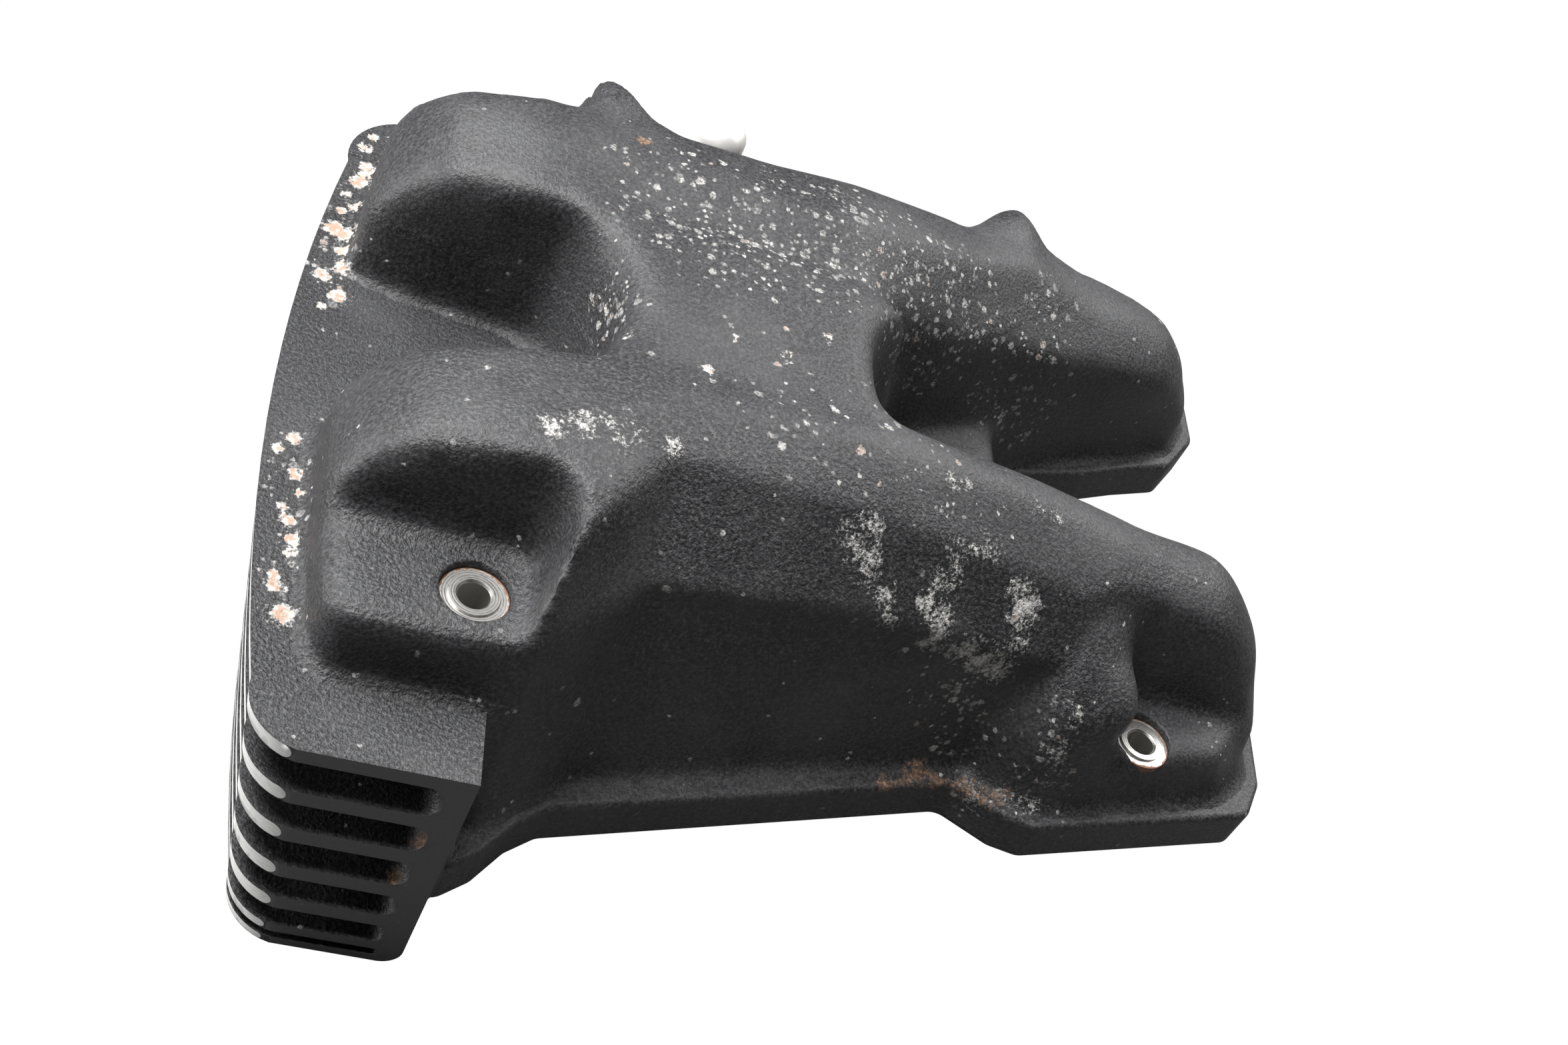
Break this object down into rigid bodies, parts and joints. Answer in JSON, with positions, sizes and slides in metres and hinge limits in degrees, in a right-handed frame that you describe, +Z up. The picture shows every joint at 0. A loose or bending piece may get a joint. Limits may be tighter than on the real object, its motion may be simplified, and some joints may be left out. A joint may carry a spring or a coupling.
{
  "type": "engine valve cover",
  "caption": "Hollow cast cover with paired humps between open bolt corners, a stack of cooling fins at one end and a sealing flange below.",
  "frame": {"origin": "axis of the bolt sleeve at the near corner of the finned end, on the sealing face", "axes": "+X along the humps away from the fins, +Y across to the far hump, +Z up along the bolts, away from the engine"},
  "size_m": [0.271, 0.2537, 0.1129],
  "materials": {
    "black_coat": "baked black textured coat over cast light alloy, machined bare on the fin edges, blistered white in places",
    "sleeve_steel": "bare turned steel with rust at the rim",
    "bush_rubber": "matt black rubber",
    "seal_rubber": "matt black rubber",
    "stud_bright": "polished round head"
  },
  "bodies": {
    "root": {"cover": "black_coat", "sleeve_near_fin": "sleeve_steel", "sleeve_far_fin": "sleeve_steel", "sleeve_near_end": "sleeve_steel", "sleeve_far_end": "sleeve_steel", "bush_near_fin": "bush_rubber", "bush_far_fin": "bush_rubber", "bush_near_end": "bush_rubber", "bush_far_end": "bush_rubber", "seal": "seal_rubber", "stud": "stud_bright"}
  },
  "joints": []
}
